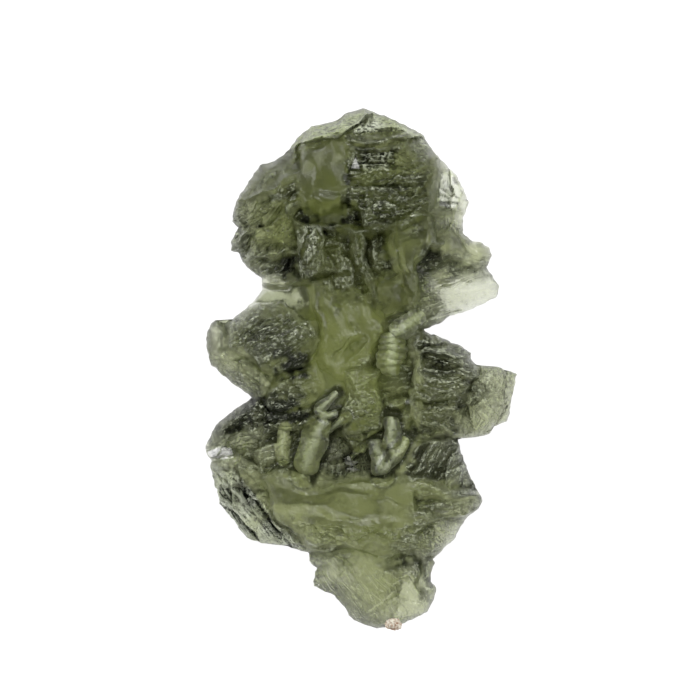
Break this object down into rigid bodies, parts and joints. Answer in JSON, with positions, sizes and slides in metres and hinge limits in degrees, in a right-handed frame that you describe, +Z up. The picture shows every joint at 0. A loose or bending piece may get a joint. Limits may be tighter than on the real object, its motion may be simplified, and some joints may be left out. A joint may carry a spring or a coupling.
{
  "type": "moldavite",
  "caption": "Sculpted natural green glass, flat and elongated, etched into ledges, bars and hollows, lying on its back with a crumb of clay at its tip.",
  "frame": {"origin": "centre of the stone's plan box, on the ground that it lies on", "axes": "+Z up, out of the shown side; +Y along the stone's length towards its thick broad end; +X across it, to the right in a view from above"},
  "size_m": [0.0188, 0.0314, 0.0093],
  "materials": {
    "green_glass": "etched and glossy, bottle green to olive, clear where thin",
    "clay": "dull dry clay"
  },
  "bodies": {
    "root": {"moldavite": "green_glass", "clay_crumb": "clay"}
  },
  "joints": []
}
